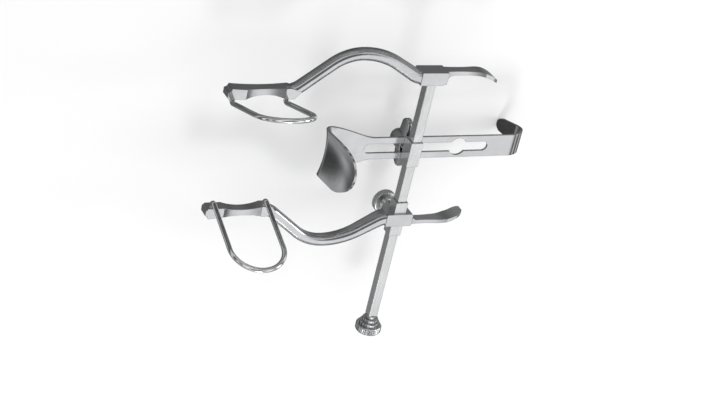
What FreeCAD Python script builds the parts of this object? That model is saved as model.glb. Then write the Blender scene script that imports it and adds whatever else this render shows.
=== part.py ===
"""Self retaining retractor: two hooked arms on a square bar, with a slotted centre blade between them.

Frame, in millimetres: the origin is the middle of the flat outer end of the fixed arm's head. The bar runs
away from it along -Y, the arms' jaws reach along -X and their handles along +X, and the blades go down
into the wound along +Z. Each arm is drawn about its own centre, with "side" +1 where its outer face looks
along +Y and -1 where it looks along -Y.
"""

import FreeCAD, Part
import math
import os
import re

import Sketcher

V = FreeCAD.Vector

SIZES = {
    # square bar, and the play of the boxes that slide on it
    "bar_width": 8.0,
    "bar_bevel": 0.5,
    "bar_reach": 222.3,
    "slide_play": 0.1,
    "tenon_width": 5.6,
    "tenon_length": 8.0,
    "spigot_width": 5.0,
    "spigot_length": 9.0,
    # end knob, in steps from the bar's end
    "knob_neck_width": 10.0,
    "knob_ring_width": 13.5,
    "knob_collar_width": 17.0,
    "knob_width": 22.4,
    "knob_step": 3.2,
    "knob_rim": 6.4,
    "knob_bevel": 0.8,
    "thread_play": 0.05,
    # head of an arm
    "head_long": 23.4,
    "head_tall": 11.0,
    "head_deep": 14.0,
    "head_corner": 4.0,
    "box_corner": 1.0,
    # bowed part of an arm
    "bow_top": 63.0,
    "bow_rise": 19.0,
    "bow_root_radius": 16.0,
    "bow_climb_flat": 17.7,
    "bow_fall_flat": 29.3,
    "bow_jaw_radius": 20.0,
    "arm_thick": 9.2,
    "arm_deep": 10.0,
    "arm_round": 3.4,
    "arm_seat": 2.0,
    "root_thick": 10.8,
    "root_deep": 13.2,
    # jaw that holds the wire blade
    "jaw_drop": 12.7,
    "jaw_thick": 9.2,
    "jaw_tip": 6.0,
    "jaw_round": 3.0,
    "jaw_root": 5.0,
    "jaw_lead": 2.5,
    "jaw_heel": 3.0,
    "scoop_side": 3.0,
    "scoop_front": 2.0,
    "scoop_back": 1.2,
    "scoop_tip_land": 9.0,
    "scoop_root_land": 3.0,
    # spoon handle
    "handle_reach": 60.0,
    "handle_flat": 37.0,
    "handle_drop": 9.0,
    "handle_thick": 3.4,
    "handle_tip": 1.8,
    "handle_wide": 12.6,
    "handle_web": 7.0,
    "handle_waist": 9.2,
    "handle_full": 46.0,
    "handle_flank": 110.0,
    # wire blades
    "loop_middle": 143.0,
    "loop_width": 44.0,
    "wire_width": 4.0,
    "loop_leg": 44.6,
    "loop_tilt": 17.6,
    "elbow_radius": 3.2,
    "wire_stub": 0.6,
    "wire_seat": 6.0,
    # sliding arm and its lock
    "arm_spread": 130.1,
    "sleeve_wall": 1.2,
    "sleeve_long": 31.6,
    "boss_width": 12.0,
    "boss_tall": 8.0,
    "screw_width": 5.0,
    "pad_play": 0.1,
    "pad_thick": 1.6,
    "lock_width": 21.0,
    "lock_thick": 6.0,
    "lock_gap": 5.5,
    "lock_neck": 7.5,
    "lock_bevel": 0.8,
    "nip": 0.05,
    # slider of the centre blade
    "slider_place": 75.0,
    "slider_long": 22.0,
    "slider_back": 3.0,
    "key_long": 10.0,
    "key_tall": 1.8,
    "key_play": 0.1,
    # strap of the centre blade
    "strap_thick": 2.0,
    "strap_wide": 19.4,
    "slot_wide": 8.6,
    "slot_left": 40.0,
    "slot_right": 73.8,
    "keyhole": 45.9,
    "keyhole_wide": 15.6,
    "flare_start": 30.0,
    "flare_low_x": 42.0,
    "flare_low_y": 11.9,
    "flare_high_x": 60.0,
    "flare_high_y": 17.9,
    "flare_end": 72.0,
    "flare_hollow_radius": 34.0,
    "flare_crown_radius": 70.0,
    # blade end of the strap
    "blade_wide": 41.0,
    "bend_place": 72.0,
    "bend_radius": 5.0,
    "blade_deep": 41.0,
    "blade_lean": 7.8,
    "saddle_start": 46.0,
    "saddle_root": 1.5,
    "saddle_bend": 3.0,
    "saddle_tip": 4.2,
    # finger hook at the other end
    "hook_place": 96.0,
    "hook_radius": 14.0,
    "hook_turn": 107.0,
    "hook_long": 21.0,
    "hook_taper": 6.2,
    "hook_end": 31.0,
    # wing screw
    "hub_width": 15.0,
    "hub_long": 16.0,
    "wing_span": 43.0,
    "wing_thick": 5.0,
    "wing_deep": 12.4,
    "wing_gap": 1.5,
    "wing_root": 5.0,
}

doc = FreeCAD.newDocument("retractor")
sheet = doc.addObject("Spreadsheet::Sheet", "sizes")
for row, (alias, size) in enumerate(SIZES.items(), start=1):
    sheet.set(f"A{row}", alias)
    sheet.set(f"B{row}", str(size))
    sheet.setAlias(f"B{row}", alias)
doc.recompute()

# places that several pieces share, as expressions of the sizes
BORE = "(bar_width + 2 * slide_play)"
SLEEVE = f"({BORE} + 2 * sleeve_wall)"
JAW_IN = "(jaw_drop + jaw_thick / 2)"
JAW_OUT = "(jaw_drop - jaw_thick / 2)"
JAW_END = "(loop_middle + loop_width / 2 + jaw_tip)"
JAW_START = "(loop_middle - loop_width / 2 - jaw_root)"
JAW_LEVEL = f"({JAW_START} + jaw_root + jaw_lead)"
CLIMB_RUN = "(bow_top - (head_long / 2 - arm_seat))"
FALL_RUN = f"({JAW_LEVEL} - bow_top)"
FALL_DROP = "(bow_rise + jaw_drop)"
NEAR_RADIUS = (f"(({CLIMB_RUN} ^ 2 + bow_rise ^ 2 - bow_climb_flat ^ 2) / (2 * bow_rise)"
               " - bow_root_radius)")
FAR_RADIUS = (f"(({FALL_RUN} ^ 2 + {FALL_DROP} ^ 2 - bow_fall_flat ^ 2) / (2 * {FALL_DROP})"
              " - bow_jaw_radius)")
STRAP_FRONT = f"({BORE} / 2 + slider_back)"
STRAP_BACK = f"({STRAP_FRONT} + strap_thick)"
SLIDER_PLACE = "-slider_place"
ARM_PLACE = "-(head_tall / 2 + arm_spread)"
SCREW_HOLE = "(screw_width + 2 * thread_play)"
PAD = f"({SCREW_HOLE} - 2 * pad_play)"
THROUGH = "(2 * loop_middle)"  # a cut this long passes right through any piece


def linked(text):
    """The expression with each size written as the sheet's own."""
    return re.sub(r"[a-z_]+", lambda word: "sizes." + word[0] if word[0] in SIZES else word[0], text)


def number(text):
    return float(sheet.evalExpression(linked(text)))


def bind(thing, prop, text):
    """Sets a property from an expression of the sizes."""
    thing.setExpression(prop, linked(text))


def new_body(label, y="0"):
    body = doc.addObject("PartDesign::Body", label)
    body.Label = label
    bind(body, "Placement.Base.y", y)
    return body


def new_sketch(body, name, plane, away="0"):
    """An empty sketch on one of the body's own planes, or parallel to it and away along its normal."""
    sketch = body.newObject("Sketcher::SketchObject", name)
    face = next(f for f in body.Origin.OriginFeatures if f.Role == plane)
    sketch.AttachmentSupport = [(face, "")]
    sketch.MapMode = "FlatFace"
    bind(sketch, "AttachmentOffset.Base.z", away)
    return sketch


def tilted_sketch(body, name, axis, turn, x, y, z):
    """An empty sketch on the body's level plane, turned about the axis and then moved."""
    sketch = body.newObject("Sketcher::SketchObject", name)
    face = next(f for f in body.Origin.OriginFeatures if f.Role == "XY_Plane")
    sketch.AttachmentSupport = [(face, "")]
    sketch.MapMode = "FlatFace"
    sketch.AttachmentOffset = FreeCAD.Placement(V(0, 0, 0), FreeCAD.Rotation(axis, number(turn)))
    bind(sketch, "AttachmentOffset.Rotation.Angle", turn)
    for place, text in (("x", x), ("y", y), ("z", z)):
        bind(sketch, "AttachmentOffset.Base." + place, text)
    return sketch


def pin_point(sketch, geometry, point, x, y):
    """Holds a point at x, y from the sketch's origin."""
    for kind, text in (("DistanceX", x), ("DistanceY", y)):
        index = sketch.addConstraint(Sketcher.Constraint(kind, -1, 1, geometry, point, number(text)))
        bind(sketch, f"Constraints[{index}]", text)


def hold_radius(sketch, geometry, text):
    index = sketch.addConstraint(Sketcher.Constraint("Radius", geometry, number(text)))
    bind(sketch, f"Constraints[{index}]", text)


def circle(sketch, x, y, radius):
    shape = Part.Circle(V(number(x), number(y), 0), V(0, 0, 1), number(radius))
    index = sketch.addGeometry(shape, False)
    pin_point(sketch, index, 3, x, y)
    hold_radius(sketch, index, radius)


def arc_through(start, end, radius, left):
    """An arc of the radius from start to end, bulging to the left or right of the way, and which end is first."""
    chord = end - start
    half = chord.Length / 2
    way = chord.normalize()
    side = V(-way.y, way.x, 0) * (1 if left else -1)
    middle = start + way * half - side * math.sqrt(max(radius**2 - half**2, 0))
    first, last = (end, start) if left else (start, end)
    a0 = math.atan2(first.y - middle.y, first.x - middle.x)
    a1 = math.atan2(last.y - middle.y, last.x - middle.x)
    if a1 < a0:
        a1 += 2 * math.pi
    arc = Part.ArcOfCircle(Part.Circle(middle, V(0, 0, 1), radius), a0, a1)
    return arc, (2, 1) if left else (1, 2)


def outline(sketch, points):
    """A closed outline. A third value makes an arc of that radius to the next point, a fourth its side.

    The word round in place of the radius makes a half circle on a level or an upright chord.
    """
    spans = []
    for point, following in zip(points, points[1:] + points[:1]):
        start = V(number(point[0]), number(point[1]), 0)
        end = V(number(following[0]), number(following[1]), 0)
        if len(point) > 2:
            radius = (end - start).Length / 2 if point[2] == "round" else number(point[2])
            arc, ends = arc_through(start, end, radius, point[3] > 0)
            index = sketch.addGeometry(arc, False)
            spans.append((index, *ends))
        else:
            index = sketch.addGeometry(Part.LineSegment(start, end), False)
            spans.append((index, 1, 2))
    for (index, _, last), (following, first, _) in zip(spans, spans[1:] + spans[:1]):
        sketch.addConstraint(Sketcher.Constraint("Coincident", index, last, following, first))
    for point, following, (index, first, _) in zip(points, points[1:] + points[:1], spans):
        pin_point(sketch, index, first, point[0], point[1])
        if len(point) > 2 and point[2] == "round":
            upright = abs(number(point[0]) - number(following[0])) < 1e-9
            chord = "Vertical" if upright else "Horizontal"
            sketch.addConstraint(Sketcher.Constraint(chord, index, first, index, 3))
        elif len(point) > 2:
            hold_radius(sketch, index, point[2])


def rectangle(sketch, half_x, half_y):
    outline(
        sketch,
        [
            (f"-({half_x})", f"-({half_y})"),
            (half_x, f"-({half_y})"),
            (half_x, half_y),
            (f"-({half_x})", half_y),
        ],
    )


def rounded_rectangle(sketch, half_x, half_y, corner, middle="0"):
    """A rectangle with rounded corners, its middle at that x."""
    left = f"({middle} - ({half_x}))"
    right = f"({middle} + ({half_x}))"
    y_flat = f"({half_y} - {corner})"
    outline(
        sketch,
        [
            (f"{left} + {corner}", f"-({half_y})"),
            (f"{right} - {corner}", f"-({half_y})", corner, -1),
            (right, f"-{y_flat}"),
            (right, y_flat, corner, -1),
            (f"{right} - {corner}", half_y),
            (f"{left} + {corner}", half_y, corner, -1),
            (left, y_flat),
            (left, f"-{y_flat}", corner, -1),
        ],
    )


def grow(body, kind, name, sketch, length, both=False, back=False):
    """A Pad or Pocket of the sketch: both ways from it, or one way, or one way turned back."""
    feature = body.newObject("PartDesign::" + kind, name)
    feature.Profile = sketch
    bind(feature, "Length", length)
    feature.SideType = "Symmetric" if both else "One side"
    feature.Reversed = back
    sketch.Visibility = False
    return feature


def sweep(body, name, path, sections):
    """Sweeps the first section along the path through the others."""
    doc.recompute()
    pipe = body.newObject("PartDesign::AdditivePipe", name)
    pipe.Profile = sections[0]
    pipe.Spine = path
    pipe.Transformation = "Multisection"
    pipe.Sections = sections[1:]
    for sketch in (path, *sections):
        sketch.Visibility = False
    return pipe


def turned(label, y, profile, plane="XZ_Plane"):
    """A turned piece: its half profile, as (radius, place along the axis), is revolved about the axis."""
    body = new_body(label, y)
    sketch = new_sketch(body, label + "_profile", plane)
    outline(sketch, profile)
    spin = body.newObject("PartDesign::Revolution", label + "_turned")
    spin.Profile = sketch
    spin.ReferenceAxis = (sketch, ["V_Axis"])
    spin.Angle = 360
    return body


def soften(body, name, radius, wanted):
    """Rounds the edges of the body that the test picks."""
    doc.recompute()
    base = body.Tip
    picked = [f"Edge{i}" for i, edge in enumerate(base.Shape.Edges, start=1) if wanted(edge)]
    if not picked:
        raise ValueError(f"{body.Label}: no edge found for {name}")
    fillet = body.newObject("PartDesign::Fillet", name)
    fillet.Base = (base, picked)
    bind(fillet, "Radius", radius)
    return fillet


def along(edge, axis):
    """Whether a straight edge runs along the axis."""
    if not isinstance(edge.Curve, Part.Line):
        return False
    return abs(abs(edge.Curve.Direction.dot(axis)) - 1) < 1e-6


def bar():
    body = new_body("bar", "-head_tall")
    square = new_sketch(body, "bar_section", "XZ_Plane")
    rectangle(square, "bar_width / 2", "bar_width / 2")
    grow(body, "Pad", "bar_length", square, "bar_reach")
    soften(body, "bar_edges", "bar_bevel", lambda edge: along(edge, V(0, 1, 0)))
    tenon = new_sketch(body, "tenon_section", "XZ_Plane")
    rectangle(tenon, "tenon_width / 2", "tenon_width / 2")
    grow(body, "Pad", "tenon", tenon, "tenon_length", back=True)
    spigot = new_sketch(body, "spigot_section", "XZ_Plane", "bar_reach")
    circle(spigot, "0", "0", "spigot_width / 2")
    grow(body, "Pad", "spigot", spigot, "spigot_length")
    return body


def end_knob():
    """Turned knob with two steps under a knurled rim, screwed on the bar's spigot."""
    bore = "(spigot_width / 2 + thread_play)"
    rim_top = "-(3 * knob_step)"
    rim_low = "-(3 * knob_step + knob_rim)"
    profile = [
        (bore, "0"),
        ("knob_neck_width / 2", "0"),
        ("knob_neck_width / 2", "-knob_step"),
        ("knob_ring_width / 2", "-knob_step"),
        ("knob_ring_width / 2", "-2 * knob_step"),
        ("knob_collar_width / 2", "-2 * knob_step"),
        ("knob_collar_width / 2", rim_top),
        ("knob_width / 2 - knob_bevel", rim_top),
        ("knob_width / 2", f"{rim_top} - knob_bevel"),
        ("knob_width / 2", f"{rim_low} + knob_bevel"),
        ("knob_width / 2 - knob_bevel", rim_low),
        ("0", rim_low),
        ("0", "-(spigot_length + knob_bevel)"),
        (bore, "-(spigot_length + knob_bevel)"),
    ]
    return turned("end_knob", "-(head_tall + bar_reach)", profile, "XY_Plane")


def climb(run, rise, radii, flat):
    """Slope, in radians, of the straight of that length that joins two level arcs.

    The radii of the arcs add up to radii, and the whole goes run along and rise up.
    """
    return math.atan2(run, radii - rise) - math.atan2(flat, radii)


def bow_path(sketch, side):
    """Middle line of the bowed part: level at the head, over the top of the bow and level at the jaw."""
    start_x = "-(head_long / 2 - arm_seat)"
    end_x = f"-({JAW_LEVEL})"
    radii = ("bow_root_radius", NEAR_RADIUS, FAR_RADIUS, "bow_jaw_radius")
    root, near, far, last = (number(radius) for radius in radii)
    start = V(number(start_x), 0, 0)
    top = V(-number("bow_top"), number("bow_rise"), 0)
    end = V(number(end_x), -number("jaw_drop"), 0)
    rising = climb(start.x - top.x, top.y, root + near, number("bow_climb_flat"))
    falling = climb(top.x - end.x, top.y - end.y, far + last, number("bow_fall_flat"))

    def spot(centre, radius, angle):
        return V(centre.x + radius * math.cos(angle), side * (centre.y + radius * math.sin(angle)), 0)

    def arc(centre, radius, angle_0, angle_1):
        """Index of the arc, and its points at angle_0 and at angle_1."""
        middle = V(centre.x, side * centre.y, 0)
        turn = (angle_0, angle_1) if side > 0 else (-angle_1, -angle_0)
        index = sketch.addGeometry(Part.ArcOfCircle(Part.Circle(middle, V(0, 0, 1), radius), *turn), False)
        return (index, 1, 2) if side > 0 else (index, 2, 1)

    up, down = math.pi / 2, 3 * math.pi / 2
    centres = (
        V(start.x, root, 0),
        V(top.x, top.y - near, 0),
        V(top.x, top.y - far, 0),
        V(end.x, end.y + last, 0),
    )
    one = arc(centres[0], root, down - rising, down)
    two = arc(centres[1], near, up - rising, up)
    three = arc(centres[2], far, up, up + falling)
    four = arc(centres[3], last, down, down + falling)
    rise = Part.LineSegment(
        spot(centres[0], root, down - rising), spot(centres[1], near, up - rising)
    )
    fall = Part.LineSegment(
        spot(centres[2], far, up + falling), spot(centres[3], last, down + falling)
    )
    rise = sketch.addGeometry(rise, False)
    fall = sketch.addGeometry(fall, False)
    joins = (
        (one[0], one[1], rise, 1),
        (rise, 2, two[0], two[1]),
        (two[0], two[2], three[0], three[1]),
        (three[0], three[2], fall, 1),
        (fall, 2, four[0], four[2]),
    )
    for join in joins:
        sketch.addConstraint(Sketcher.Constraint("Tangent", *join))
    for index, point in ((one[0], one[2]), (two[0], two[2]), (four[0], four[1])):
        sketch.addConstraint(Sketcher.Constraint("Vertical", index, point, index, 3))
    pin_point(sketch, one[0], one[2], start_x, "0")
    pin_point(sketch, two[0], two[2], "-bow_top", f"{side} * bow_rise")
    pin_point(sketch, four[0], four[1], end_x, f"{side} * -jaw_drop")
    for arc_made, radius in zip((one, two, three, four), radii):
        hold_radius(sketch, arc_made[0], radius)


def arm(label, side, y, corner):
    """One arm, forged in one piece: head, bowed part, jaw and spoon handle."""
    body = new_body(label, y)
    outer = f"{side} * head_tall / 2"
    inner = f"{-side} * head_tall / 2"

    head = new_sketch(body, label + "_head_outline", "XY_Plane")
    outline(
        head,
        [
            ("-head_long / 2", inner),
            (f"head_long / 2 - {corner}", inner, corner, -side),
            ("head_long / 2", f"{-side} * (head_tall / 2 - {corner})"),
            ("head_long / 2", outer),
            ("-head_long / 2", outer),
        ],
    )
    grow(body, "Pad", label + "_head", head, "head_deep", both=True)

    path = new_sketch(body, label + "_bow_path", "XY_Plane")
    bow_path(path, side)
    root = new_sketch(body, label + "_bow_root", "YZ_Plane", "-(head_long / 2 - arm_seat)")
    rounded_rectangle(root, "root_thick / 2", "root_deep / 2", "arm_round")
    top = new_sketch(body, label + "_bow_top", "YZ_Plane", "-bow_top")
    rounded_rectangle(top, "arm_thick / 2", "arm_deep / 2", "arm_round", f"{side} * bow_rise")
    end = new_sketch(body, label + "_bow_end", "YZ_Plane", f"-({JAW_LEVEL})")
    rounded_rectangle(end, "arm_thick / 2", "arm_deep / 2", "arm_round", f"{side} * -jaw_drop")
    sweep(body, label + "_bow", path, [root, top, end])

    jaw = new_sketch(body, label + "_jaw_outline", "XY_Plane")
    back_long = f"({JAW_END} - {JAW_LEVEL})"
    back_radius = f"(({back_long} / 2) ^ 2 + scoop_back ^ 2) / (2 * scoop_back)"
    land_left = "-(loop_middle + loop_width / 2 - scoop_tip_land)"
    land_right = "-(loop_middle - loop_width / 2 + scoop_root_land)"
    scoop_long = "(loop_width - scoop_tip_land - scoop_root_land)"
    side_radius = f"(({scoop_long} / 2) ^ 2 + scoop_side ^ 2) / (2 * scoop_side)"
    outline(
        jaw,
        [
            (f"-({JAW_LEVEL} - jaw_round)", f"{-side} * {JAW_OUT}", back_radius, side),
            (f"-({JAW_END} - jaw_round)", f"{-side} * {JAW_OUT}", "jaw_round", side),
            (f"-{JAW_END}", f"{-side} * ({JAW_OUT} + jaw_round)"),
            (f"-{JAW_END}", f"{-side} * ({JAW_IN} - jaw_round / 2)", "jaw_round / 2", side),
            (f"-({JAW_END} - jaw_round / 2)", f"{-side} * {JAW_IN}"),
            (land_left, f"{-side} * {JAW_IN}", side_radius, side),
            (land_right, f"{-side} * {JAW_IN}"),
            (f"-{JAW_START}", f"{-side} * {JAW_IN}"),
            (f"-({JAW_START} - jaw_root)", f"{-side} * ({JAW_OUT} + jaw_heel)"),
        ],
    )
    grow(body, "Pad", label + "_jaw", jaw, "arm_deep", both=True)

    handle = new_sketch(body, label + "_handle_outline", "XY_Plane")
    bend = "(handle_reach - handle_flat)"
    low_x = "(handle_reach - handle_tip / 2)"
    low_drop = "(handle_drop + handle_tip - handle_thick)"
    under = "(head_tall / 2 - handle_thick)"
    outline(
        handle,
        [
            ("0", outer),
            ("handle_flat", outer, f"({bend} ^ 2 + handle_drop ^ 2) / (2 * handle_drop)", side),
            ("handle_reach", f"{side} * (head_tall / 2 - handle_drop)"),
            (low_x, f"{side} * (head_tall / 2 - handle_drop - handle_tip)",
             f"(({low_x} - handle_flat) ^ 2 + {low_drop} ^ 2) / (2 * {low_drop})", -side),
            ("handle_flat", f"{side} * {under}"),
            ("head_long / 2 + handle_web", f"{side} * {under}", "handle_web", -side),
            ("head_long / 2", f"{side} * ({under} - handle_web)"),
            ("0", f"{side} * ({under} - handle_web)"),
        ],
    )
    grow(body, "Pad", label + "_handle", handle, "handle_wide", both=True)

    front = new_sketch(body, label + "_jaw_front", "XZ_Plane")
    front_radius = f"(({scoop_long} / 2) ^ 2 + scoop_front ^ 2) / (2 * scoop_front)"
    circle(front, f"({land_left} + {land_right}) / 2",
           f"arm_deep / 2 - scoop_front + {front_radius}", front_radius)
    grow(body, "Pocket", label + "_jaw_scoop", front, THROUGH, both=True)

    seats = new_sketch(body, label + "_wire_seats", "XZ_Plane", f"{side} * {JAW_IN}")
    for leg in ("-(loop_middle + loop_width / 2)", "-(loop_middle - loop_width / 2)"):
        circle(seats, leg, "0", "wire_width / 2")
    grow(body, "Pocket", label + "_wire_holes", seats, "wire_seat", back=side < 0)

    for name, sign in (("left", 1), ("right", -1)):
        trim = new_sketch(body, f"{label}_handle_{name}", "XZ_Plane")
        outline(
            trim,
            [
                ("head_long / 2", f"{sign} * handle_waist / 2", "handle_flank", -sign),
                ("handle_full", f"{sign} * handle_wide / 2"),
                ("handle_reach - handle_wide / 2", f"{sign} * handle_wide / 2", "handle_wide / 2", sign),
                ("handle_reach", "0"),
                ("handle_reach + handle_wide", "0"),
                ("handle_reach + handle_wide", f"{sign} * handle_wide"),
                ("head_long / 2", f"{sign} * handle_wide"),
            ],
        )
        grow(body, "Pocket", f"{label}_handle_{name}_side", trim, THROUGH, both=True)
    return body


def fixed_arm():
    body = arm("fixed_arm", 1, "-head_tall / 2", "head_corner")
    socket = new_sketch(body, "tenon_socket_outline", "XZ_Plane", "head_tall / 2")
    rectangle(socket, "tenon_width / 2", "tenon_width / 2")
    grow(body, "Pocket", "tenon_socket", socket, "tenon_length")
    return body


def sliding_arm():
    """The same arm turned over, with a sleeve bore in its head and a threaded boss behind it."""
    body = arm("sliding_arm", -1, ARM_PLACE, "box_corner")
    boss = new_sketch(body, "boss_outline", "XY_Plane", "-head_deep / 2")
    circle(boss, "0", "0", "boss_width / 2")
    grow(body, "Pad", "boss", boss, "boss_tall", back=True)
    bore = new_sketch(body, "sleeve_bore_outline", "XZ_Plane")
    rectangle(bore, f"{SLEEVE} / 2", f"{SLEEVE} / 2")
    grow(body, "Pocket", "sleeve_bore", bore, THROUGH, both=True)
    hole = new_sketch(body, "lock_hole_outline", "XY_Plane", "-(head_deep / 2 + boss_tall)")
    circle(hole, "0", "0", f"{SCREW_HOLE} / 2")
    grow(body, "Pocket", "lock_hole", hole, f"boss_tall + head_deep / 2 - {BORE} / 2", back=True)
    return body


def guide_sleeve():
    """Square tube through the sliding arm's head, close on the bar."""
    body = new_body("guide_sleeve", ARM_PLACE)
    walls = new_sketch(body, "sleeve_walls", "XZ_Plane")
    rectangle(walls, f"{SLEEVE} / 2", f"{SLEEVE} / 2")
    rectangle(walls, f"{BORE} / 2", f"{BORE} / 2")
    grow(body, "Pad", "sleeve_length", walls, "sleeve_long", both=True)
    hole = new_sketch(body, "sleeve_hole_outline", "XY_Plane", f"-{SLEEVE} / 2")
    circle(hole, "0", "0", f"{SCREW_HOLE} / 2")
    grow(body, "Pocket", "sleeve_hole", hole, "2 * sleeve_wall", back=True)
    return body


def loop_blade(label, side, y):
    """Wire blade: a round-ended loop leaning outwards, with two elbows that end in the jaw's holes."""
    reach = f"({JAW_IN} + wire_stub + elbow_radius * cos(loop_tilt))"
    body = new_body(label, f"{y} - {side} * {reach}")
    body.Placement.Rotation = FreeCAD.Rotation(V(1, 0, 0), 90 - side * number("loop_tilt"))
    bind(body, "Placement.Rotation.Angle", f"90 - {side} * loop_tilt")
    bind(body, "Placement.Base.x", "-loop_middle")
    bind(body, "Placement.Base.z", "elbow_radius * (1 + sin(loop_tilt))")
    path = new_sketch(body, label + "_path", "XY_Plane")
    half = "loop_width / 2"
    corners = [(f"-{half}", "0"), (f"-{half}", "loop_leg"), (half, "loop_leg"), (half, "0")]
    spots = [V(number(x), number(y_at), 0) for x, y_at in corners]
    left = path.addGeometry(Part.LineSegment(spots[0], spots[1]), False)
    arc, ends = arc_through(spots[1], spots[2], number(half), True)
    curve = path.addGeometry(arc, False)
    right = path.addGeometry(Part.LineSegment(spots[2], spots[3]), False)
    path.addConstraint(Sketcher.Constraint("Tangent", left, 2, curve, ends[0]))
    path.addConstraint(Sketcher.Constraint("Tangent", curve, ends[1], right, 1))
    pin_point(path, left, 1, *corners[0])
    pin_point(path, left, 2, *corners[1])
    pin_point(path, right, 2, *corners[3])
    path.addConstraint(Sketcher.Constraint("Vertical", right))

    across = V(1, 0, 0)
    section = tilted_sketch(body, label + "_section", across, "90", "0", "0", "0")
    circle(section, f"-{half}", "0", "wire_width / 2")
    doc.recompute()
    loop = body.newObject("PartDesign::AdditivePipe", label + "_loop")
    loop.Profile = section
    loop.Spine = path

    elbows = tilted_sketch(body, label + "_elbow_sections", across, "90", "0", "0", "0")
    level = f"{-side} * elbow_radius"
    axis = Part.LineSegment(V(-1, number(level), 0), V(1, number(level), 0))
    axis = elbows.addGeometry(axis, True)
    pin_point(elbows, axis, 1, "-1", level)
    pin_point(elbows, axis, 2, "1", level)
    for x in (f"-{half}", half):
        circle(elbows, x, "0", "wire_width / 2")
    bend = body.newObject("PartDesign::Revolution", label + "_elbows")
    bend.Profile = elbows
    bend.ReferenceAxis = (elbows, ["Axis0"])
    bind(bend, "Angle", "90 + loop_tilt")
    bend.Reversed = side < 0

    stub_turn = "180 + loop_tilt" if side > 0 else "-loop_tilt"
    stubs = tilted_sketch(body, label + "_stub_sections", across, stub_turn, "0",
                          "-elbow_radius * cos(loop_tilt)", f"{-side} * elbow_radius * (1 + sin(loop_tilt))")
    for x in (f"-{half}", half):
        circle(stubs, x, "0", "wire_width / 2")
    grow(body, "Pad", label + "_stubs", stubs, "wire_stub + wire_seat")
    return body


def slider():
    """Box that rides on the bar and carries the centre blade on the key at its back."""
    body = new_body("slider", SLIDER_PLACE)
    walls = new_sketch(body, "slider_walls", "XZ_Plane")
    outline(
        walls,
        [
            (f"-{SLEEVE} / 2", f"-{STRAP_FRONT}"),
            (f"{SLEEVE} / 2", f"-{STRAP_FRONT}"),
            (f"{SLEEVE} / 2", f"{SLEEVE} / 2"),
            (f"-{SLEEVE} / 2", f"{SLEEVE} / 2"),
        ],
    )
    rectangle(walls, f"{BORE} / 2", f"{BORE} / 2")
    grow(body, "Pad", "slider_length", walls, "slider_long", both=True)
    key = new_sketch(body, "key_outline", "XY_Plane", f"-{STRAP_FRONT}")
    half = "(slot_wide / 2 - key_play)"
    flat = f"(key_long / 2 - {half})"
    outline(
        key,
        [
            (f"-{flat}", f"-{half}"),
            (flat, f"-{half}", "round", -1),
            (flat, half),
            (f"-{flat}", half, "round", -1),
        ],
    )
    grow(body, "Pad", "key", key, "key_tall", back=True)
    hole = new_sketch(body, "slider_hole_outline", "XY_Plane", f"-({STRAP_FRONT} + key_tall)")
    circle(hole, "0", "0", f"{SCREW_HOLE} / 2")
    grow(body, "Pocket", "slider_hole", hole, "key_tall + slider_back + slide_play", back=True)
    return body


def saddle(body):
    """Flared end of the strap, which hollows as it bends up into the blade, with its inner face on the path."""
    middle_z = f"(bend_radius - {STRAP_FRONT})"
    bent_x = "-(bend_place + bend_radius * cos(blade_lean))"
    bent_z = f"({middle_z} + bend_radius * sin(blade_lean))"
    blade_long = "(blade_deep / cos(blade_lean))"
    tip_x = f"({bent_x} + {blade_long} * sin(blade_lean))"
    tip_z = f"({bent_z} + {blade_long} * cos(blade_lean))"

    path = new_sketch(body, "blade_path", "XZ_Plane")
    ends = [("-saddle_start", f"-{STRAP_FRONT}"), ("-bend_place", f"-{STRAP_FRONT}"), (bent_x, bent_z),
            (tip_x, tip_z)]
    spots = [V(number(x), number(z), 0) for x, z in ends]
    flat = path.addGeometry(Part.LineSegment(spots[0], spots[1]), False)
    arc, order = arc_through(spots[1], spots[2], number("bend_radius"), True)
    curve = path.addGeometry(arc, False)
    rise = path.addGeometry(Part.LineSegment(spots[2], spots[3]), False)
    path.addConstraint(Sketcher.Constraint("Coincident", flat, 2, curve, order[0]))
    path.addConstraint(Sketcher.Constraint("Coincident", curve, order[1], rise, 1))
    for index, point, spot in ((flat, 1, 0), (flat, 2, 1), (rise, 1, 2), (rise, 2, 3)):
        pin_point(path, index, point, *ends[spot])
    hold_radius(path, curve, "bend_radius")

    def bowed(sag):
        return f"((blade_wide / 2) ^ 2 + {sag} ^ 2) / (2 * {sag})"

    start = new_sketch(body, "saddle_start_section", "YZ_Plane", "-saddle_start")
    outline(
        start,
        [
            ("-blade_wide / 2", f"-{STRAP_BACK}"),
            ("blade_wide / 2", f"-{STRAP_BACK}"),
            ("blade_wide / 2", f"-{STRAP_FRONT}"),
            ("-blade_wide / 2", f"-{STRAP_FRONT}"),
        ],
    )
    root = new_sketch(body, "saddle_root_section", "YZ_Plane", "-bend_place")
    outline(
        root,
        [
            ("-blade_wide / 2", f"-{STRAP_BACK}", bowed("saddle_root"), 1),
            ("blade_wide / 2", f"-{STRAP_BACK}"),
            ("blade_wide / 2", f"-{STRAP_FRONT}", bowed("saddle_root"), -1),
            ("-blade_wide / 2", f"-{STRAP_FRONT}"),
        ],
    )
    sections = [start, root]
    for name, sag, x, z in (("bend", "saddle_bend", bent_x, bent_z), ("tip", "saddle_tip", tip_x, tip_z)):
        section = tilted_sketch(body, f"saddle_{name}_section", V(0, 1, 0), "blade_lean", x, "0", z)
        outline(
            section,
            [
                ("-strap_thick", "-blade_wide / 2", bowed(sag), -1),
                ("-strap_thick", "blade_wide / 2"),
                ("0", "blade_wide / 2", bowed(sag), 1),
                ("0", "-blade_wide / 2"),
            ],
        )
        sections.append(section)
    sweep(body, "saddle", path, sections)


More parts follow.
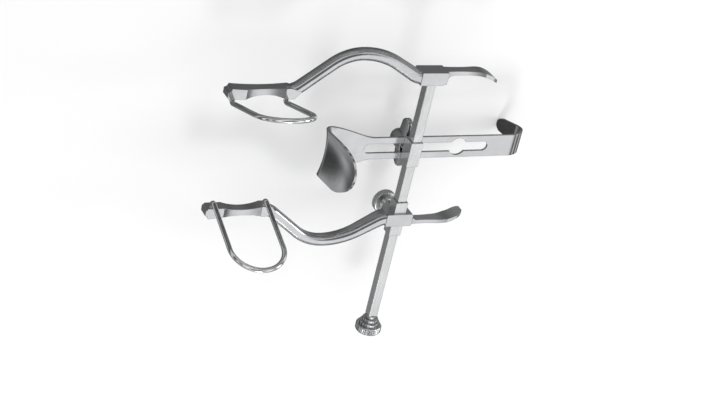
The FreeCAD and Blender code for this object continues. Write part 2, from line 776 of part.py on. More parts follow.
def centre_blade():
    """One strap of plate: finger hook, slot with its keyhole, flare, bend and hollowed blade."""
    body = new_body("centre_blade", SLIDER_PLACE)
    side = new_sketch(body, "strap_side", "XZ_Plane")
    hook_low = f"-({STRAP_BACK} + hook_radius)"
    hook_out = "(hook_radius + strap_thick)"
    across = "sin(hook_turn)"
    back = "cos(hook_turn)"
    outline(
        side,
        [
            ("-saddle_start", f"-{STRAP_FRONT}"),
            ("hook_place", f"-{STRAP_FRONT}", hook_out, 1),
            (f"hook_place + {hook_out} * {across}", f"{hook_low} + {hook_out} * {back}"),
            (f"hook_place + {hook_out} * {across} + hook_long * {back}",
             f"{hook_low} + {hook_out} * {back} - hook_long * {across}"),
            (f"hook_place + hook_radius * {across} + hook_long * {back}",
             f"{hook_low} + hook_radius * {back} - hook_long * {across}"),
            (f"hook_place + hook_radius * {across}", f"{hook_low} + hook_radius * {back}",
             "hook_radius", -1),
            ("hook_place", f"-{STRAP_BACK}"),
            ("-saddle_start", f"-{STRAP_BACK}"),
        ],
    )
    grow(body, "Pad", "strap", side, "blade_wide", both=True)
    saddle(body)

    far = "(hook_place + hook_radius + 2 * strap_thick)"
    for name, sign in (("upper", 1), ("lower", -1)):
        trim = new_sketch(body, name + "_flare_outline", "XY_Plane")
        outline(
            trim,
            [
                ("-flare_end", f"{sign} * blade_wide / 2", "flare_crown_radius", sign),
                ("-flare_high_x", f"{sign} * flare_high_y"),
                ("-flare_low_x", f"{sign} * flare_low_y", "flare_hollow_radius", -sign),
                ("-flare_start", f"{sign} * strap_wide / 2"),
                (far, f"{sign} * strap_wide / 2"),
                (far, f"{sign} * blade_wide"),
                ("-flare_end", f"{sign} * blade_wide"),
            ],
        )
        grow(body, "Pocket", name + "_flare", trim, THROUGH, both=True)

    hook = new_sketch(body, "hook_end_outline", "YZ_Plane")
    hook_top = f"-({STRAP_BACK} + hook_radius / 2)"
    hook_low_y = f"-({STRAP_BACK} + hook_end)"
    clear_y = f"-({STRAP_BACK} + hook_end + hook_radius)"
    outline(
        hook,
        [
            ("-strap_wide", hook_top),
            ("-strap_wide / 2", hook_top),
            ("-hook_taper", hook_low_y, "round", -1),
            ("hook_taper", hook_low_y),
            ("strap_wide / 2", hook_top),
            ("strap_wide", hook_top),
            ("strap_wide", clear_y),
            ("-strap_wide", clear_y),
        ],
    )
    grow(body, "Pocket", "hook_end_round", hook, THROUGH, both=True)

    slot = new_sketch(body, "slot_outline", "XY_Plane")
    half = "slot_wide / 2"
    outline(
        slot,
        [
            (f"-(slot_left - {half})", f"-{half}"),
            (f"slot_right - {half}", f"-{half}", "round", -1),
            (f"slot_right - {half}", half),
            (f"-(slot_left - {half})", half, "round", -1),
        ],
    )
    grow(body, "Pocket", "slot", slot, THROUGH, both=True)
    eye = new_sketch(body, "keyhole_outline", "XY_Plane")
    circle(eye, "keyhole", "0", "keyhole_wide / 2")
    grow(body, "Pocket", "keyhole_eye", eye, THROUGH, both=True)

    bottom = f"(bend_radius - {STRAP_FRONT})"
    tip = new_sketch(body, "blade_tip_outline", "YZ_Plane")
    start = f"{bottom} + blade_deep - blade_wide / 2"
    outline(
        tip,
        [
            ("-blade_wide", start),
            ("-blade_wide / 2", start, "round", 1),
            ("blade_wide / 2", start),
            ("blade_wide", start),
            ("blade_wide", "2 * blade_deep"),
            ("-blade_wide", "2 * blade_deep"),
        ],
    )
    grow(body, "Pocket", "blade_tip", tip, THROUGH, both=True)
    return body


def pressure_pad(label, y):
    """Loose disc in the threaded hole, between the screw's tip and the bar."""
    pad = doc.addObject("Part::Cylinder", label)
    pad.Label = label
    bind(pad, "Radius", f"{PAD} / 2")
    bind(pad, "Height", "pad_thick")
    bind(pad, "Placement.Base.y", y)
    bind(pad, "Placement.Base.z", "-(bar_width / 2 + nip + pad_thick)")
    return pad


def lock_screw():
    """Thumbscrew behind the sliding arm: knurled disc, neck and shank."""
    tip = "-(bar_width / 2 + nip + pad_thick)"
    face = "-(head_deep / 2 + boss_tall + lock_gap)"
    neck = f"{face} + lock_gap / 2"
    low = f"{face} - lock_thick"
    profile = [
        ("0", tip),
        ("screw_width / 2", tip),
        ("screw_width / 2", neck),
        ("lock_neck / 2", neck),
        ("lock_neck / 2", face),
        ("lock_width / 2 - lock_bevel", face),
        ("lock_width / 2", f"{face} - lock_bevel"),
        ("lock_width / 2", f"{low} + lock_bevel"),
        ("lock_width / 2 - lock_bevel", low),
        ("0", low),
    ]
    return turned("lock_screw", ARM_PLACE, profile)


def wing_screw():
    """Screw whose domed hub clamps the strap, with two flat wings across it."""
    tip = "-(bar_width / 2 + nip + pad_thick)"
    face = f"-({STRAP_BACK} + nip)"
    dome = f"({face} - hub_long)"
    profile = [
        ("0", tip),
        ("screw_width / 2", tip),
        ("screw_width / 2", face),
        ("hub_width / 2", face),
        ("hub_width / 2", dome, "hub_width / 2", 1),
        ("0", f"{dome} - hub_width / 2"),
    ]
    body = turned("wing_screw", SLIDER_PLACE, profile)
    wings = new_sketch(body, "wing_outline", "YZ_Plane")
    top = f"({face} - wing_gap)"
    low = f"({top} - wing_deep)"
    near = "(wing_span / 2 - wing_deep / 2)"
    outline(
        wings,
        [
            (f"-{near}", top),
            (near, top, "round", 1),
            (near, low),
            ("wing_root", dome),
            ("-wing_root", dome),
            (f"-{near}", low, "round", 1),
        ],
    )
    grow(body, "Pad", "wings", wings, "wing_thick", both=True)
    return body


bar()
end_knob()
fixed_arm()
sliding_arm()
guide_sleeve()
loop_blade("fixed_loop_blade", 1, "-head_tall / 2")
loop_blade("sliding_loop_blade", -1, ARM_PLACE)
slider()
centre_blade()
pressure_pad("lock_pad", ARM_PLACE)
pressure_pad("slider_pad", SLIDER_PLACE)
lock_screw()
wing_screw()

doc.recompute()
for thing in doc.Objects:
    if {"Invalid", "Error"} & set(thing.State):
        raise ValueError(f"{thing.Label} did not recompute: {thing.State}")

pieces = [thing for thing in doc.Objects if thing.TypeId in ("PartDesign::Body", "Part::Cylinder")]
for piece in pieces:
    if piece.Shape.isNull() or not piece.Shape.isValid():
        raise ValueError(f"{piece.Label} has no valid shape")
os.makedirs("parts", exist_ok=True)
for piece in pieces:
    piece.Shape.exportStep(f"parts/{piece.Label}.step")
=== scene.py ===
"""Self retaining retractor: steel finishes, knurled and threaded screws, and a pale studio, around the model.

Everything is in metres, in the model's own frame: the bar runs along -Y, the jaws reach along -X, and the
blades point up along +Z. The pieces made here stand for the model's screws and its end knob, and take their
places from them.
"""

import math

import bmesh
import bpy
from bpy.props import FloatProperty, FloatVectorProperty, IntProperty, PointerProperty
from mathutils import Matrix, Vector


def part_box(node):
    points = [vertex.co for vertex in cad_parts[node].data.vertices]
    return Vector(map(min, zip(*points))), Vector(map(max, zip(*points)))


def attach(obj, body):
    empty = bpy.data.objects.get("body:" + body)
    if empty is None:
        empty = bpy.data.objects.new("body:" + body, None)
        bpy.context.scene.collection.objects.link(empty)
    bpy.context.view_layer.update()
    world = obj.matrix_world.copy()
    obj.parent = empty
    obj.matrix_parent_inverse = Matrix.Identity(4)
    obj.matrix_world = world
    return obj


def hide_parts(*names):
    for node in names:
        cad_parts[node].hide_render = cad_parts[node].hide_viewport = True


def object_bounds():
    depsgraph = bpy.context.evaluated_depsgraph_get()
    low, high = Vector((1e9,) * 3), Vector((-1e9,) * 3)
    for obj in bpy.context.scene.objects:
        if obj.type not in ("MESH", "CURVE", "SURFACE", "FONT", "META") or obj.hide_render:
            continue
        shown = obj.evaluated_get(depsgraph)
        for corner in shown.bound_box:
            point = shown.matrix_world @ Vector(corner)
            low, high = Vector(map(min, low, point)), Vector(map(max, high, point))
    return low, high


bl_info = {
    "name": "Self retaining retractor",
    "version": (1, 0, 0),
    "blender": (4, 5, 0),
    "location": "3D View > Sidebar > Retractor",
    "description": "Steel finishes, knurled screws and a studio for the retractor",
    "category": "Add Mesh",
}

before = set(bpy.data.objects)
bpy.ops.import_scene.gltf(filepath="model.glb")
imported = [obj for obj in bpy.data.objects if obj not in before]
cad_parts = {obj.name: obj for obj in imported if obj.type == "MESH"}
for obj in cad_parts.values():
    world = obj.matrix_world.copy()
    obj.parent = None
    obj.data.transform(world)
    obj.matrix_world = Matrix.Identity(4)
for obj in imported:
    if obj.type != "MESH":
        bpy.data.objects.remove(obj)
model_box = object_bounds()

# the model's own nodes by their finish, and the two boxes whose edges are broken in their shape
POLISHED = ("fixed_arm", "sliding_arm", "centre_blade")
BRIGHT = ("fixed_loop_blade", "sliding_loop_blade")
SATIN = ("bar", "guide_sleeve", "slider", "lock_pad", "slider_pad")
BOXES = ("guide_sleeve", "slider")

MM = 0.001
PICTURE_WIDTH = 719
# vertices closer than these are one: in a model node's loose triangles, and in a new piece
NODE_WELD = 0.002 * MM
PIECE_WELD = 0.005 * MM
# a new piece is shaded smooth over edges flatter than this
SMOOTH_BELOW = math.radians(32)
# grain of each finish along x, y and z, in wrinkles per metre, and how strongly it dents the light
POLISHED_GRAIN = ((90.0, 900.0, 900.0), 0.12)
SATIN_GRAIN = ((1400.0, 70.0, 1400.0), 0.3)
BRIGHT_GRAIN = ((300.0, 300.0, 300.0), 0.05)
GRAIN_HEIGHT = 0.05 * MM
# light marks of use: their turn, their grain, and how much duller they are
MARKS_TURN = (0.4, 0.2, 0.7)
MARKS_GRAIN = (3200.0, 160.0, 160.0)
MARKS_DULL = 0.05


class RetractorSteel(bpy.types.PropertyGroup):
    """Tints and roughness of the three finishes"""

    polished_tint: FloatVectorProperty(
        name="Polished tint", description="Colour of the polished forgings and blades",
        subtype="COLOR", size=3, default=(0.5, 0.505, 0.515), min=0, max=1)
    satin_tint: FloatVectorProperty(
        name="Satin tint", description="Colour of the satin bar, sleeve and slider",
        subtype="COLOR", size=3, default=(0.62, 0.625, 0.63), min=0, max=1)
    bright_tint: FloatVectorProperty(
        name="Bright tint", description="Colour of the bright wire of the loop blades",
        subtype="COLOR", size=3, default=(0.78, 0.785, 0.79), min=0, max=1)
    polished_roughness: FloatProperty(
        name="Polished roughness", description="How dull the polished steel is", default=0.16, min=0, max=1)
    satin_roughness: FloatProperty(
        name="Satin roughness", description="How dull the satin steel is", default=0.26, min=0, max=1)
    edge_round: FloatProperty(
        name="Edge rounding", description="How far sharp edges are broken, so that they catch the light",
        subtype="DISTANCE", default=0.4 * MM, min=0)


class RetractorScrews(bpy.types.PropertyGroup):
    """Sizes of the end knob, the lock screw and the wing screw that their boxes don't give"""

    knurl_teeth: IntProperty(
        name="Knurl teeth", description="Ridges round the rim of the end knob and the lock screw",
        default=40, min=24)
    knurl_deep: FloatProperty(
        name="Knurl depth", description="How deep the grooves of a knurled rim are",
        subtype="DISTANCE", default=0.6 * MM, min=0)
    thread_pitch: FloatProperty(
        name="Thread pitch", description="Rise of a screw's thread for each turn",
        subtype="DISTANCE", default=0.8 * MM, min=0.2 * MM)
    thread_deep: FloatProperty(
        name="Thread depth", description="How deep a screw's thread is cut",
        subtype="DISTANCE", default=0.4 * MM, min=0)
    shank_radius: FloatProperty(
        name="Shank radius", description="Radius of both clamping screws over their thread",
        subtype="DISTANCE", default=2.5 * MM, min=1 * MM)
    lock_disc: FloatProperty(
        name="Lock disc", description="Thickness of the lock screw's knurled disc",
        subtype="DISTANCE", default=6.0 * MM, min=2 * MM)
    lock_neck_long: FloatProperty(
        name="Lock neck length", description="Length of the lock screw's neck, from its disc to its thread",
        subtype="DISTANCE", default=2.75 * MM, min=1 * MM)
    lock_neck_radius: FloatProperty(
        name="Lock neck radius", description="Radius of the lock screw's neck",
        subtype="DISTANCE", default=3.75 * MM, min=1 * MM)
    hub_long: FloatProperty(
        name="Hub length", description="Length of the wing screw's hub, without its dome",
        subtype="DISTANCE", default=16.0 * MM, min=1 * MM)
    wing_deep: FloatProperty(
        name="Wing depth", description="Depth of a wing along the screw",
        subtype="DISTANCE", default=12.4 * MM, min=1 * MM)
    wing_thick: FloatProperty(
        name="Wing thickness", description="Thickness of a wing",
        subtype="DISTANCE", default=5.0 * MM, min=1 * MM)
    wing_gap: FloatProperty(
        name="Wing gap", description="How far the wings stand off the strap",
        subtype="DISTANCE", default=1.5 * MM, min=0)
    wing_root: FloatProperty(
        name="Wing root", description="Half width of the wings where they leave the dome",
        subtype="DISTANCE", default=5.0 * MM, min=0)
    wing_edge: FloatProperty(
        name="Wing edge", description="Rounding of the wings' edges",
        subtype="DISTANCE", default=1.1 * MM, min=0)


class RetractorStudio(bpy.types.PropertyGroup):
    """Camera, floor and room"""

    camera_place: FloatVectorProperty(
        name="Camera place", description="Where the camera stands",
        subtype="TRANSLATION", size=3, default=(-0.6419, 0.5383, 1.0327))
    camera_right: FloatVectorProperty(
        name="Picture's right", description="Direction of the picture's right edge from its middle",
        subtype="DIRECTION", size=3, default=(0.8958, 0.2038, 0.3949))
    camera_back: FloatVectorProperty(
        name="Back to the camera", description="Direction from the object to the camera",
        subtype="DIRECTION", size=3, default=(-0.4429, 0.4811, 0.7565))
    lens_pixels: FloatProperty(
        name="Lens in pixels", description="Distance from lens to picture, in pixels of the picture",
        default=1692.0, min=100)
    floor_tint: FloatVectorProperty(
        name="Floor tint", description="Colour of the studio floor",
        subtype="COLOR", size=3, default=(0.93, 0.93, 0.93), min=0, max=1)
    room_light: FloatProperty(
        name="Room light", description="Brightness of the white room that lights the floor",
        default=0.9, min=0)
    floor_reach: FloatProperty(
        name="Floor reach", description="How far the floor reaches from the object",
        subtype="DISTANCE", default=6.0, min=1)


class NodePen:
    """Adds shader nodes from left to right and links them by name."""

    def __init__(self, tree):
        self.tree = tree
        self.place = 0

    def add(self, kind, **settings):
        node = self.tree.nodes.new(kind)
        node.location = (self.place, 0)
        self.place += 180
        for name, value in settings.items():
            if hasattr(node, name):
                setattr(node, name, value)
            else:
                node.inputs[name.replace("_", " ")].default_value = value
        return node

    def link(self, source, output, target, entry):
        self.tree.links.new(source.outputs[output], target.inputs[entry])

    def ramp(self, stops):
        """A colour ramp through (position, grey or colour) stops."""
        node = self.add("ShaderNodeValToRGB")
        band = node.color_ramp
        while len(band.elements) < len(stops):
            band.elements.new(0.5)
        for element, (position, shade) in zip(band.elements, stops):
            element.position = position
            rgb = (shade,) * 3 if isinstance(shade, float) else tuple(shade)
            element.color = (*rgb, 1.0)
        return node


def shade_of(tint, factor):
    """The tint made lighter or darker."""
    return tuple(min(1.0, channel * factor) for channel in tint)


def steel(name, tint, roughness, grain, grain_depth, edge_round):
    """Stainless steel whose grinding lines are stretched along the grain, in the piece's own frame."""
    material = bpy.data.materials.new(name)
    material.use_nodes = True
    tree = material.node_tree
    tree.nodes.clear()
    pen = NodePen(tree)
    place = pen.add("ShaderNodeTexCoord")
    lines_map = pen.add("ShaderNodeMapping")
    lines_map.inputs["Scale"].default_value = grain
    lines = pen.add("ShaderNodeTexNoise", Scale=1.0, Detail=4.0, Roughness=0.62)
    lines_dull = pen.ramp([(0.3, roughness * 0.8), (0.7, roughness * 1.3)])
    clouds = pen.add("ShaderNodeTexNoise", Scale=55.0, Detail=3.0, Roughness=0.5)
    clouds_tint = pen.ramp([(0.3, shade_of(tint, 0.93)), (0.7, shade_of(tint, 1.04))])
    marks_map = pen.add("ShaderNodeMapping")
    marks_map.inputs["Rotation"].default_value = MARKS_TURN
    marks_map.inputs["Scale"].default_value = MARKS_GRAIN
    marks = pen.add("ShaderNodeTexNoise", Scale=1.0, Detail=2.0)
    marks_cut = pen.ramp([(0.62, 0.0), (0.74, 1.0)])
    dull = pen.add("ShaderNodeMath", operation="MULTIPLY_ADD")
    dull.inputs[1].default_value = MARKS_DULL
    edges = pen.add("ShaderNodeBevel", Radius=edge_round, samples=6)
    bump = pen.add("ShaderNodeBump", Strength=grain_depth, Distance=GRAIN_HEIGHT)
    shader = pen.add("ShaderNodeBsdfPrincipled", Metallic=1.0)
    out = pen.add("ShaderNodeOutputMaterial")
    for mapping in (lines_map, marks_map):
        pen.link(place, "Object", mapping, "Vector")
    pen.link(place, "Object", clouds, "Vector")
    pen.link(lines_map, "Vector", lines, "Vector")
    pen.link(marks_map, "Vector", marks, "Vector")
    pen.link(clouds, "Fac", clouds_tint, "Fac")
    pen.link(clouds_tint, "Color", shader, "Base Color")
    pen.link(lines, "Fac", lines_dull, "Fac")
    pen.link(marks, "Fac", marks_cut, "Fac")
    pen.link(marks_cut, "Color", dull, 0)
    pen.link(lines_dull, "Color", dull, 2)
    pen.link(dull, "Value", shader, "Roughness")
    pen.link(lines, "Fac", bump, "Height")
    pen.link(edges, "Normal", bump, "Normal")
    pen.link(bump, "Normal", shader, "Normal")
    pen.link(shader, "BSDF", out, "Surface")
    return material


def give(node, material):
    """Puts the material in every slot of a model node."""
    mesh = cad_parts[node].data
    if not mesh.materials:
        mesh.materials.append(material)
    for slot in range(len(mesh.materials)):
        mesh.materials[slot] = material


def soften(node, width):
    """Breaks the sharp edges of a model node."""
    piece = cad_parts[node]
    joined = piece.modifiers.new("joined", "WELD")
    joined.merge_threshold = NODE_WELD
    broken = piece.modifiers.new("broken_edges", "BEVEL")
    broken.width = width
    broken.segments = 2
    broken.limit_method = "ANGLE"
    broken.angle_limit = math.radians(40)


def finish_piece(work, name, finish, body, node):
    """Turns the finished bmesh into a piece that rides on a body and stands for the node."""
    bmesh.ops.remove_doubles(work, verts=work.verts, dist=PIECE_WELD)
    bmesh.ops.recalc_face_normals(work, faces=work.faces)
    mesh = bpy.data.meshes.new(name)
    work.to_mesh(mesh)
    work.free()
    mesh.materials.append(bpy.data.materials[finish])
    piece = bpy.data.objects.new(name, mesh)
    bpy.context.scene.collection.objects.link(piece)
    for face in mesh.polygons:
        face.use_smooth = True
    mesh.set_sharp_from_angle(angle=SMOOTH_BELOW)
    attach(piece, body)
    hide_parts(node)


def turn(steps, segments, teeth_deep=0.0):
    """A turned solid about the Z axis, closed at both ends.

    Each step is (radius, height) with True after them where every second vertex is sunk by teeth_deep.
    """
    work = bmesh.new()
    first = steps[0]
    bmesh.ops.create_circle(work, cap_ends=True, segments=segments, radius=first[0],
                            matrix=Matrix.Translation((0, 0, first[1])))
    loop = list(work.edges)
    for step in steps[1:]:
        radius, height = step[:2]
        grown = bmesh.ops.extrude_edge_only(work, edges=loop)["geom"]
        ring = [part for part in grown if isinstance(part, bmesh.types.BMVert)]
        loop = [part for part in grown if isinstance(part, bmesh.types.BMEdge)
                and all(vertex in ring for vertex in part.verts)]
        for vertex in ring:
            angle = math.atan2(vertex.co.y, vertex.co.x)
            share = round(angle / (2 * math.pi) * segments)
            sunk = teeth_deep if len(step) > 2 and share % 2 else 0.0
            vertex.co = Vector((math.cos(angle), math.sin(angle), 0)) * (radius - sunk)
            vertex.co.z = height
    bmesh.ops.contextual_create(work, geom=loop)
    return work


# steps of a thread's turn, its foot's depth as a share of the thread's, and its width as a share of the pitch
STEPS_PER_TURN = 24
THREAD_SUNK = 1.2
THREAD_WIDE = 0.96


def thread(work, radius, low, high, pitch, deep):
    """Winds a closed V-shaped ridge round the Z axis, on a shank of that outer radius."""
    turns = (high - low) / pitch
    steps = round(turns * STEPS_PER_TURN)
    foot = radius - THREAD_SUNK * deep
    corners = [
        work.verts.new((foot, 0, low)),
        work.verts.new((radius, 0, low + pitch / 2)),
        work.verts.new((foot, 0, low + pitch * THREAD_WIDE)),
    ]
    start = work.faces.new(corners)
    bmesh.ops.spin(work, geom=[start], cent=(0, 0, 0), axis=(0, 0, 1), dvec=(0, 0, (high - low) / steps),
                   angle=2 * math.pi * turns, steps=steps, use_merge=False, use_duplicate=False)


def plate(points, thick, edge):
    """A flat closed plate across the X axis, from its (y, z) outline, with rounded edges."""
    work = bmesh.new()
    corners = [work.verts.new((-thick / 2, y, z)) for y, z in points]
    face = work.faces.new(corners)
    grown = bmesh.ops.extrude_face_region(work, geom=[face])["geom"]
    moved = [part for part in grown if isinstance(part, bmesh.types.BMVert)]
    bmesh.ops.translate(work, verts=moved, vec=(thick, 0, 0))
    rims = [side for side in work.edges if abs(side.verts[0].co.x - side.verts[1].co.x) < thick / 2]
    bmesh.ops.bevel(work, geom=rims, offset=edge, offset_type="OFFSET", affect="EDGES", segments=4,
                    profile=0.5, material=-1, clamp_overlap=True)
    bmesh.ops.recalc_face_normals(work, faces=work.faces)
    return work


def half_circle(centre, radius, side, steps=16):
    """Points of a half circle in (y, z), from its lowest z to its highest or back, bulging to the side."""
    angles = [math.pi * (step / steps - 0.5) * side for step in range(steps + 1)]
    return [(centre[0] + side * radius * math.cos(angle), centre[1] + radius * math.sin(angle))
            for angle in angles]


def union(first, second):
    """Joins two closed bmeshes into one skin."""
    things = []
    for work in (first, second):
        mesh = bpy.data.meshes.new("part")
        work.to_mesh(mesh)
        work.free()
        thing = bpy.data.objects.new("part", mesh)
        bpy.context.scene.collection.objects.link(thing)
        things.append(thing)
    join = things[0].modifiers.new("union", "BOOLEAN")
    join.operation = "UNION"
    join.solver = "EXACT"
    join.object = things[1]
    shape = bpy.context.evaluated_depsgraph_get()
    joined = bmesh.new()
    joined.from_mesh(things[0].evaluated_get(shape).to_mesh())
    for thing in things:
        mesh = thing.data
        bpy.data.objects.remove(thing)
        bpy.data.meshes.remove(mesh)
    return joined


def stand(work, place, angle):
    """Moves what was made about Z to a place, turned about X: a quarter faces it to -Y, a half to -Z."""
    turned = Matrix.Rotation(angle, 4, "X")
    bmesh.ops.transform(work, matrix=Matrix.Translation(place) @ turned, verts=work.verts)


class RETRACTOR_OT_finishes(bpy.types.Operator):
    """Give the model's own pieces their polished and satin steel"""

    bl_idname = "retractor.finishes"
    bl_label = "Steel finishes"

    def execute(self, context):
        look = context.scene.retractor_steel
        finishes = (
            ("polished_steel", look.polished_tint, look.polished_roughness, POLISHED_GRAIN, POLISHED),
            ("satin_steel", look.satin_tint, look.satin_roughness, SATIN_GRAIN, SATIN),
            ("bright_wire", look.bright_tint, look.polished_roughness, BRIGHT_GRAIN, BRIGHT),
        )
        for name, tint, roughness, grain, nodes in finishes:
            material = steel(name, tint, roughness, *grain, look.edge_round)
            for node in nodes:
                give(node, material)
        for node in BOXES:
            soften(node, look.edge_round)
        return {"FINISHED"}


# the end knob's three rings as shares of its radius, each one's share of its height, and its broken edges
KNOB_RINGS = (0.446, 0.603, 0.759)
KNOB_STEP = 0.2
KNOB_EDGE = 0.3 * MM
# broken edges of the lock screw and of the wing screw's hub, and how finely the hub and its dome are turned
SCREW_EDGE = 0.5 * MM
HUB_SEGMENTS = 64
DOME_STEPS = 12


class RETRACTOR_OT_end_knob(bpy.types.Operator):
    """Build the stepped end knob with its knurled rim"""

    bl_idname = "retractor.end_knob"
    bl_label = "End knob"

    def execute(self, context):
        screws = context.scene.retractor_screws
        low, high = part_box("end_knob")
        width = (high.x - low.x) / 2
        tall = high.y - low.y
        step = tall * KNOB_STEP
        edge = KNOB_EDGE
        steps = [(width * 0.3, 0.0)]
        for ring, share in enumerate(KNOB_RINGS):
            radius = width * share
            steps += [
                (radius - edge, ring * step),
                (radius, ring * step + edge),
                (radius, (ring + 1) * step - edge),
                (radius - edge, (ring + 1) * step),
            ]
        rim = len(KNOB_RINGS) * step
        steps += [
            (width - 3 * edge, rim),
            (width, rim + 3 * edge, True),
            (width, tall - 3 * edge, True),
            (width - 3 * edge, tall),
            (width * 0.62, tall),
            (width * 0.58, tall - 2 * edge),
            (width * 0.1, tall - 2 * edge),
        ]
        work = turn(steps, 2 * screws.knurl_teeth, screws.knurl_deep)
        stand(work, (0, high.y, 0), math.pi / 2)
        finish_piece(work, "knurled_end_knob", "polished_steel", "knob", "end_knob")
        return {"FINISHED"}


class RETRACTOR_OT_lock_screw(bpy.types.Operator):
    """Build the lock screw: knurled disc, neck and threaded shank"""

    bl_idname = "retractor.lock_screw"
    bl_label = "Lock screw"

    def execute(self, context):
        screws = context.scene.retractor_screws
        low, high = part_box("lock_screw")
        width = (high.x - low.x) / 2
        tall = high.z - low.z
        shank = screws.shank_radius
        root = shank - screws.thread_deep
        neck = screws.lock_neck_radius
        disc_low = tall - screws.lock_disc
        shank_long = disc_low - screws.lock_neck_long
        edge = SCREW_EDGE
        steps = [
            (root, 0.0),
            (root, shank_long),
            (neck - edge, shank_long),
            (neck, shank_long + edge),
            (neck, disc_low - edge),
            (neck + edge, disc_low),
            (width * 0.9, disc_low),
            (width * 0.93, disc_low + edge / 4),
            (width, disc_low + 1.5 * edge, True),
            (width, tall - 1.5 * edge, True),
            (width * 0.93, tall - edge / 4),
            (width * 0.9, tall),
            (width * 0.5, tall),
            (width * 0.45, tall - edge),
            (width * 0.1, tall - edge),
        ]
        work = turn(steps, 2 * screws.knurl_teeth, screws.knurl_deep)
        thread(work, shank, screws.thread_pitch, shank_long - screws.thread_pitch,
               screws.thread_pitch, screws.thread_deep)
        centre = (low + high) / 2
        stand(work, (centre.x, centre.y, high.z), math.pi)
        finish_piece(work, "knurled_lock_screw", "satin_steel", "lock_turner", "lock_screw")
        return {"FINISHED"}


class RETRACTOR_OT_wing_screw(bpy.types.Operator):
    """Build the wing screw: threaded shank, domed hub and two rounded wings"""

    bl_idname = "retractor.wing_screw"
    bl_label = "Wing screw"

    def execute(self, context):
        screws = context.scene.retractor_screws
        low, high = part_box("wing_screw")
        radius = (high.x - low.x) / 2
        span = (high.y - low.y) / 2
        tall = high.z - low.z
        shank = screws.shank_radius
        root = shank - screws.thread_deep
        dome = tall - radius
        face = dome - screws.hub_long
        steps = [
            (root, 0.0),
            (root, face),
            (radius - SCREW_EDGE, face),
            (radius, face + SCREW_EDGE),
            (radius, dome),
        ]
        for share in range(1, DOME_STEPS):
            angle = share / DOME_STEPS * math.pi / 2
            steps.append((radius * math.cos(angle), dome + radius * math.sin(angle)))
        hub = turn(steps, HUB_SEGMENTS)
        lobe = screws.wing_deep / 2
        reach = span - lobe
        level = face + screws.wing_gap + lobe
        points = half_circle((reach, level), lobe, 1)
        points += [(screws.wing_root, dome), (-screws.wing_root, dome)]
        points += half_circle((-reach, level), lobe, -1)
        work = union(hub, plate(points, screws.wing_thick, screws.wing_edge))
        thread(work, shank, screws.thread_pitch / 2, face - 1.5 * screws.thread_pitch,
               screws.thread_pitch, screws.thread_deep)
        centre = (low + high) / 2
        stand(work, (centre.x, centre.y, high.z), math.pi)
        finish_piece(work, "domed_wing_screw", "polished_steel", "wing_turner", "wing_screw")
        return {"FINISHED"}


# each lamp's name, the way to it from the object, its distance, its width and its power
LAMPS = (
    ("key_light", (0.0, -0.8, 0.75), 1.6, 0.45, 6.0),
    ("side_light", (0.9, 0.1, 0.45), 1.6, 0.45, 4.0),
)
# brightness of the room that the steel mirrors, from straight below to straight above
MIRRORED = ((0.0, 0.3), (0.06, 0.15), (0.12, 0.25), (0.2, 0.8), (0.27, 0.16), (0.36, 0.05), (0.43, 1.2),
            (0.49, 1.2), (0.52, 0.02), (0.6, 0.04), (0.64, 1.0), (0.7, 1.0), (0.74, 0.06), (0.79, 0.15),
            (0.82, 1.25), (0.92, 1.25), (0.95, 0.2), (1.0, 0.3))
# how that brightness changes round the room, counted along the way across
AROUND = ((0.0, 0.55), (0.2, 1.0), (0.35, 0.5), (0.5, 0.9), (0.62, 0.6), (0.8, 1.1), (1.0, 0.7))
ACROSS = (0.37, -0.34, 0.0)
# the floor lies this far under the model's lowest point
FLOOR_GAP = 0.2 * MM
SENSOR_WIDTH = 36.0
NEAREST = 0.01
FARTHEST = 30.0


def soft_light(name, place, target, width, power):
    """A square area light at a place, facing the target."""
    data = bpy.data.lights.new(name, "AREA")
    data.shape = "SQUARE"
    data.size = width
    data.energy = power
    lamp = bpy.data.objects.new(name, data)
    bpy.context.scene.collection.objects.link(lamp)
    lamp.location = place
    lamp.rotation_euler = (target - place).to_track_quat("-Z", "Y").to_euler()


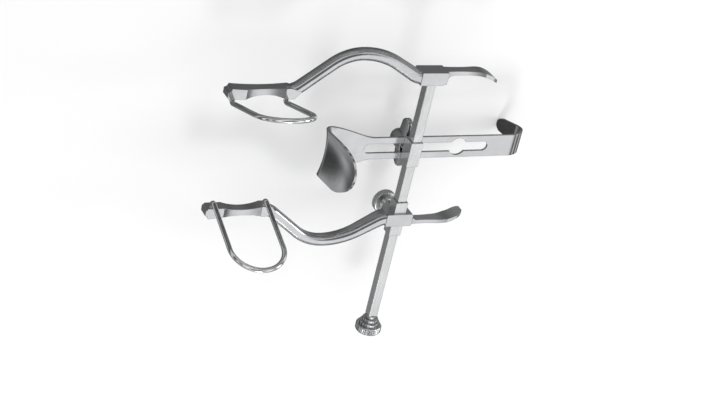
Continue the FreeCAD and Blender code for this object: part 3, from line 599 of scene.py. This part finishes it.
class RETRACTOR_OT_studio(bpy.types.Operator):
    """Lay the pale floor, hang the lights and set up the camera"""

    bl_idname = "retractor.studio"
    bl_label = "Studio"

    def execute(self, context):
        studio = context.scene.retractor_studio
        low, high = model_box
        centre = (low + high) / 2
        self.floor(studio, low.z, centre)
        self.sky(context, studio)
        for name, way, far, width, power in LAMPS:
            soft_light(name, centre + Vector(way).normalized() * far, centre, width, power)
        context.scene.view_settings.view_transform = "Standard"
        self.camera(context, studio)
        return {"FINISHED"}

    def floor(self, studio, level, centre):
        """A plain square floor just under the model's lowest level."""
        work = bmesh.new()
        bmesh.ops.create_grid(work, x_segments=2, y_segments=2, size=studio.floor_reach,
                              matrix=Matrix.Translation((centre.x, centre.y, level - FLOOR_GAP)))
        mesh = bpy.data.meshes.new("floor")
        work.to_mesh(mesh)
        work.free()
        mesh.materials.append(self.floor_paint(studio))
        floor = bpy.data.objects.new("floor", mesh)
        bpy.context.scene.collection.objects.link(floor)

    def floor_paint(self, studio):
        """Pale floor that the steel looks through, to the bands of the room under it."""
        material = bpy.data.materials.new("pale_floor")
        material.use_nodes = True
        tree = material.node_tree
        tree.nodes.clear()
        pen = NodePen(tree)
        ray = pen.add("ShaderNodeLightPath")
        paint = pen.add("ShaderNodeBsdfDiffuse", Color=(*studio.floor_tint, 1.0))
        clear = pen.add("ShaderNodeBsdfTransparent")
        either = pen.add("ShaderNodeMixShader")
        out = pen.add("ShaderNodeOutputMaterial")
        pen.link(ray, "Is Glossy Ray", either, 0)
        pen.link(paint, "BSDF", either, 1)
        pen.link(clear, "BSDF", either, 2)
        pen.link(either, "Shader", out, "Surface")
        return material

    def sky(self, context, studio):
        """A soft white room, with the dark and bright bands that the polished steel mirrors."""
        world = bpy.data.worlds.new("studio_room")
        context.scene.world = world
        world.use_nodes = True
        tree = world.node_tree
        tree.nodes.clear()
        pen = NodePen(tree)
        way = pen.add("ShaderNodeTexCoord")
        split = pen.add("ShaderNodeSeparateXYZ")
        bands = pen.ramp(MIRRORED)
        across = pen.add("ShaderNodeVectorMath", operation="DOT_PRODUCT")
        across.inputs[1].default_value = ACROSS
        shift = pen.add("ShaderNodeMath", operation="ADD")
        shift.inputs[1].default_value = 0.5
        turns = pen.ramp(AROUND)
        both = pen.add("ShaderNodeMath", operation="MULTIPLY")
        lift = pen.add("ShaderNodeMath", operation="MULTIPLY_ADD")
        lift.inputs[1].default_value = 0.5
        lift.inputs[2].default_value = 0.5
        ray = pen.add("ShaderNodeLightPath")
        soft = pen.add("ShaderNodeBackground", Strength=studio.room_light)
        soft.inputs["Color"].default_value = (1.0, 1.0, 1.0, 1.0)
        mirrored = pen.add("ShaderNodeBackground", Strength=1.0)
        either = pen.add("ShaderNodeMixShader")
        out = pen.add("ShaderNodeOutputWorld")
        pen.link(way, "Generated", split, "Vector")
        pen.link(split, "Z", lift, 0)
        pen.link(lift, "Value", bands, "Fac")
        pen.link(way, "Generated", across, 0)
        pen.link(across, "Value", shift, 0)
        pen.link(shift, "Value", turns, "Fac")
        pen.link(bands, "Color", both, 0)
        pen.link(turns, "Color", both, 1)
        pen.link(both, "Value", mirrored, "Color")
        pen.link(ray, "Is Glossy Ray", either, 0)
        pen.link(soft, "Background", either, 1)
        pen.link(mirrored, "Background", either, 2)
        pen.link(either, "Shader", out, "Surface")

    def camera(self, context, studio):
        """The camera, from its place and the two directions that turn it."""
        data = bpy.data.cameras.new("camera")
        data.sensor_width = SENSOR_WIDTH
        data.lens = studio.lens_pixels * SENSOR_WIDTH / PICTURE_WIDTH
        data.clip_start = NEAREST
        data.clip_end = FARTHEST
        eye = bpy.data.objects.new("camera", data)
        context.scene.collection.objects.link(eye)
        back = Vector(studio.camera_back).normalized()
        right = Vector(studio.camera_right)
        right = (right - right.dot(back) * back).normalized()
        up = back.cross(right)
        turned = Matrix((right, up, back)).transposed().to_4x4()
        eye.matrix_world = Matrix.Translation(studio.camera_place) @ turned
        context.scene.camera = eye


class RETRACTOR_PT_panel(bpy.types.Panel):
    """Lists the retractor's pieces and their sizes"""

    bl_label = "Retractor"
    bl_space_type = "VIEW_3D"
    bl_region_type = "UI"
    bl_category = "Retractor"

    def draw(self, context):
        for place, _ in GROUPS:
            group = getattr(context.scene, place)
            box = self.layout.box()
            for name in group.__annotations__:
                box.prop(group, name)
        for operator in OPERATORS:
            self.layout.operator(operator.bl_idname)


OPERATORS = (
    RETRACTOR_OT_finishes,
    RETRACTOR_OT_end_knob,
    RETRACTOR_OT_lock_screw,
    RETRACTOR_OT_wing_screw,
    RETRACTOR_OT_studio,
)
GROUPS = (
    ("retractor_steel", RetractorSteel),
    ("retractor_screws", RetractorScrews),
    ("retractor_studio", RetractorStudio),
)


def register():
    for name, group in GROUPS:
        bpy.utils.register_class(group)
        setattr(bpy.types.Scene, name, PointerProperty(type=group))
    for operator in OPERATORS:
        bpy.utils.register_class(operator)
    bpy.utils.register_class(RETRACTOR_PT_panel)


def unregister():
    bpy.utils.unregister_class(RETRACTOR_PT_panel)
    for operator in reversed(OPERATORS):
        bpy.utils.unregister_class(operator)
    for name, group in reversed(GROUPS):
        delattr(bpy.types.Scene, name)
        bpy.utils.unregister_class(group)


def main():
    register()
    bpy.ops.retractor.finishes()
    bpy.ops.retractor.end_knob()
    bpy.ops.retractor.lock_screw()
    bpy.ops.retractor.wing_screw()
    bpy.ops.retractor.studio()


if __name__ == "__main__":
    main()
